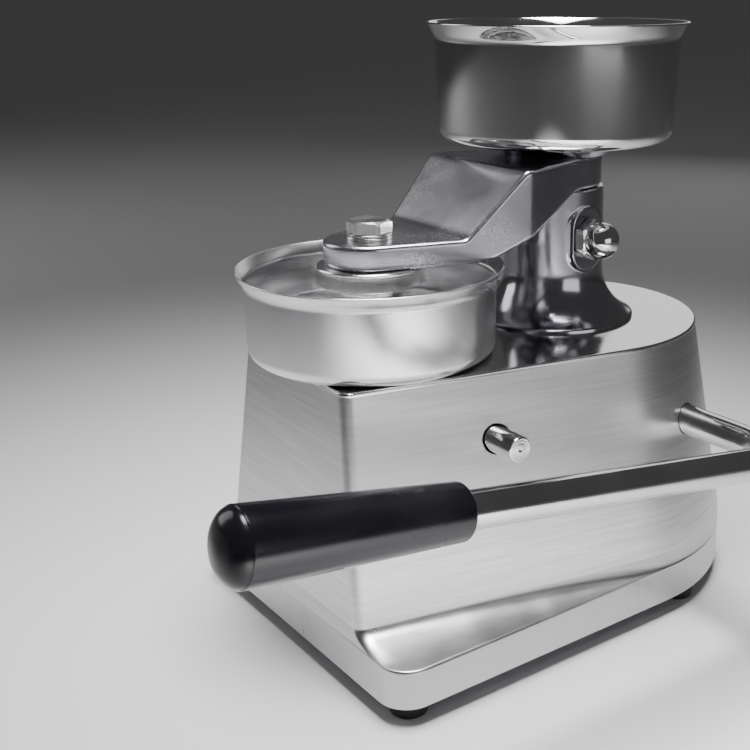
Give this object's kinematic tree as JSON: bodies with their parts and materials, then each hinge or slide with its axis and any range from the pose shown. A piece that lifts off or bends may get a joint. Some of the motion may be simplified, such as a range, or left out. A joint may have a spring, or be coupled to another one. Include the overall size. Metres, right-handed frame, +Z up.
{
  "type": "patty press",
  "caption": "Hand patty press: round mould on a drafted housing, arm on a column lifted by a bent side lever, ejector plate in the mould, round paper bowl above the column.",
  "frame": {"origin": "on the ground, in the plane of the feet's undersides, under the middle of the whole machine's box, lever and grip included", "axes": "+Z up, -Y towards the mould (front), +Y towards the column (rear), +X the lever side"},
  "size_m": [0.2867, 0.4029, 0.3269],
  "materials": {
    "polished_steel": "polished stainless steel",
    "brushed_steel": "fine horizontal brushing",
    "cast_alloy": "satin polished casting",
    "machined_steel": "machined, lightly oiled",
    "zinc_steel": "zinc plated",
    "bronze": "plain bearing bronze",
    "black_grip": "moulded, glossy",
    "rubber": "matt"
  },
  "bodies": {
    "frame": {"base_pan": "polished_steel", "bottom_cover": "zinc_steel", "cap_nut": "polished_steel", "cap_nut_washer": "zinc_steel", "column": "polished_steel", "column_bolts": "zinc_steel", "column_bush_lower": "bronze", "column_bush_upper": "bronze", "ejector_bush": "bronze", "foot_nuts": "zinc_steel", "foot_screws": "zinc_steel", "frame_nuts": "zinc_steel", "frame_studs": "zinc_steel", "guide_bolts": "zinc_steel", "guide_screw": "zinc_steel", "housing": "brushed_steel", "lever_bushes": "bronze", "mold_bowl": "polished_steel", "mold_nuts": "zinc_steel", "mold_studs": "zinc_steel", "rack_guides": "machined_steel", "rocker_bushes": "bronze", "rubber_feet": "rubber", "side_plate_left": "machined_steel", "side_plate_right": "machined_steel", "top_plate": "polished_steel"},
    "lift": {"lift_shaft": "machined_steel", "arm": "cast_alloy", "press_hub": "polished_steel", "press_plate": "polished_steel", "press_bolt": "zinc_steel", "flat_washer": "zinc_steel", "spring_washer": "zinc_steel", "bowl_seat": "polished_steel", "top_bowl": "polished_steel", "bowl_washer": "zinc_steel", "bowl_screw": "zinc_steel"},
    "lever": {"lever_shaft": "machined_steel", "lever_bar": "polished_steel", "grip": "black_grip", "pinion": "machined_steel", "pinion_pin": "machined_steel", "lever_ring": "zinc_steel"},
    "rack": {"ejector_rack": "machined_steel"},
    "rocker": {"rocker_shaft": "polished_steel", "ejector_rocker": "machined_steel", "rocker_pin": "machined_steel", "roller": "machined_steel", "roller_pin": "machined_steel", "rocker_rings": "zinc_steel"},
    "ejector": {"ejector_plate": "polished_steel", "ejector_rod": "machined_steel", "ejector_foot": "machined_steel", "ejector_screw": "zinc_steel"}
  },
  "joints": [
    {"name": "lever_swing", "type": "hinge", "parent": "frame", "child": "lever", "pos_m": [-0.0364, 0.1212, 0.11], "axis": [1, 0, 0], "range_deg": [-120, 0]},
    {"name": "arm_lift", "type": "slide", "parent": "frame", "child": "lift", "axis": [0, 0, 1], "range_m": [0, 0.0357]},
    {"name": "rack_slide", "type": "slide", "parent": "frame", "child": "rack", "axis": [0, 1, 0], "range_m": [-0.0357, 0]},
    {"name": "rocker_turn", "type": "hinge", "parent": "frame", "child": "rocker", "pos_m": [-0.0364, -0.0038, 0.123], "axis": [1, 0, 0], "range_deg": [-68.1, 0]},
    {"name": "ejector_lift", "type": "slide", "parent": "frame", "child": "ejector", "axis": [0, 0, 1], "range_m": [0, 0.03309]}
  ],
  "couplings": [
    {"joint": "arm_lift", "follows": "lever_swing", "m_per_rad": -0.017},
    {"joint": "rack_slide", "follows": "lever_swing", "m_per_rad": 0.017},
    {"joint": "rocker_turn", "follows": "lever_swing", "ratio": 0.56667},
    {"joint": "ejector_lift", "follows": "lever_swing", "m_per_rad": -0.015753}
  ]
}
